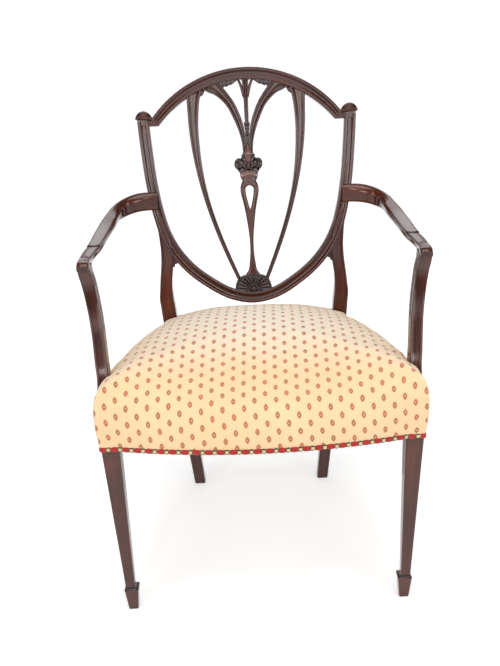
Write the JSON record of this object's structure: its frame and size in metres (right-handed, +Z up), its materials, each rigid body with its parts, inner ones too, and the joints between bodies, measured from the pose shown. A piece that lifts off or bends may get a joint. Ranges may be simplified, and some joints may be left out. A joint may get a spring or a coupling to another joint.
{
  "type": "shield back elbow chair",
  "caption": "Elbow chair with a pierced shield-shaped wooden back, scrolled arms, spade-footed tapered front legs and a stuffed-over patterned seat.",
  "frame": {"origin": "on the floor, under the centre of the chair's bounding box", "axes": "+X to the right as seen from in front, +Y from front to back, +Z up"},
  "size_m": [0.6414, 0.5988, 0.9661],
  "materials": {
    "polished_wood": "dark reddish-brown polished hardwood, satin gloss",
    "frame_wood": "bare sawn hardwood, aged",
    "steel_screw": "dull steel screw",
    "jute": "woven jute",
    "stuffing": "curled hair stuffing",
    "seat_fabric": "cream woven cloth with small red-brown lozenges",
    "braid": "red woven braid with cream bars"
  },
  "bodies": {
    "root": {"shield_bow": "polished_wood", "lunette": "polished_wood", "centre_splat": "polished_wood", "crest_rail": "polished_wood", "left_back_leg": "polished_wood", "left_outer_rib": "polished_wood", "left_arm": "polished_wood", "left_arm_support": "polished_wood", "left_front_leg": "polished_wood", "left_side_rail": "frame_wood", "left_arm_screw_1": "steel_screw", "left_support_screw_1": "steel_screw", "left_support_screw_2": "steel_screw", "right_back_leg": "polished_wood", "right_outer_rib": "polished_wood", "right_arm": "polished_wood", "right_arm_support": "polished_wood", "right_front_leg": "polished_wood", "right_side_rail": "frame_wood", "right_arm_screw_1": "steel_screw", "right_support_screw_1": "steel_screw", "right_support_screw_2": "steel_screw", "front_seat_rail": "frame_wood", "back_seat_rail": "frame_wood", "left_front_corner_block": "frame_wood", "left_front_block_screw_1": "steel_screw", "left_front_block_screw_2": "steel_screw", "left_back_corner_block": "frame_wood", "left_back_block_screw_1": "steel_screw", "left_back_block_screw_2": "steel_screw", "right_front_corner_block": "frame_wood", "right_front_block_screw_1": "steel_screw", "right_front_block_screw_2": "steel_screw", "right_back_corner_block": "frame_wood", "right_back_block_screw_1": "steel_screw", "right_back_block_screw_2": "steel_screw", "long_webbing_1": "jute", "long_webbing_2": "jute", "long_webbing_3": "jute", "long_webbing_4": "jute", "cross_webbing_1": "jute", "cross_webbing_2": "jute", "cross_webbing_3": "jute", "cross_webbing_4": "jute", "hessian": "jute", "seat_stuffing": "stuffing", "seat_cover": "seat_fabric", "front_braid": "braid", "left_braid": "braid", "right_braid": "braid", "back_braid": "braid"}
  },
  "joints": []
}
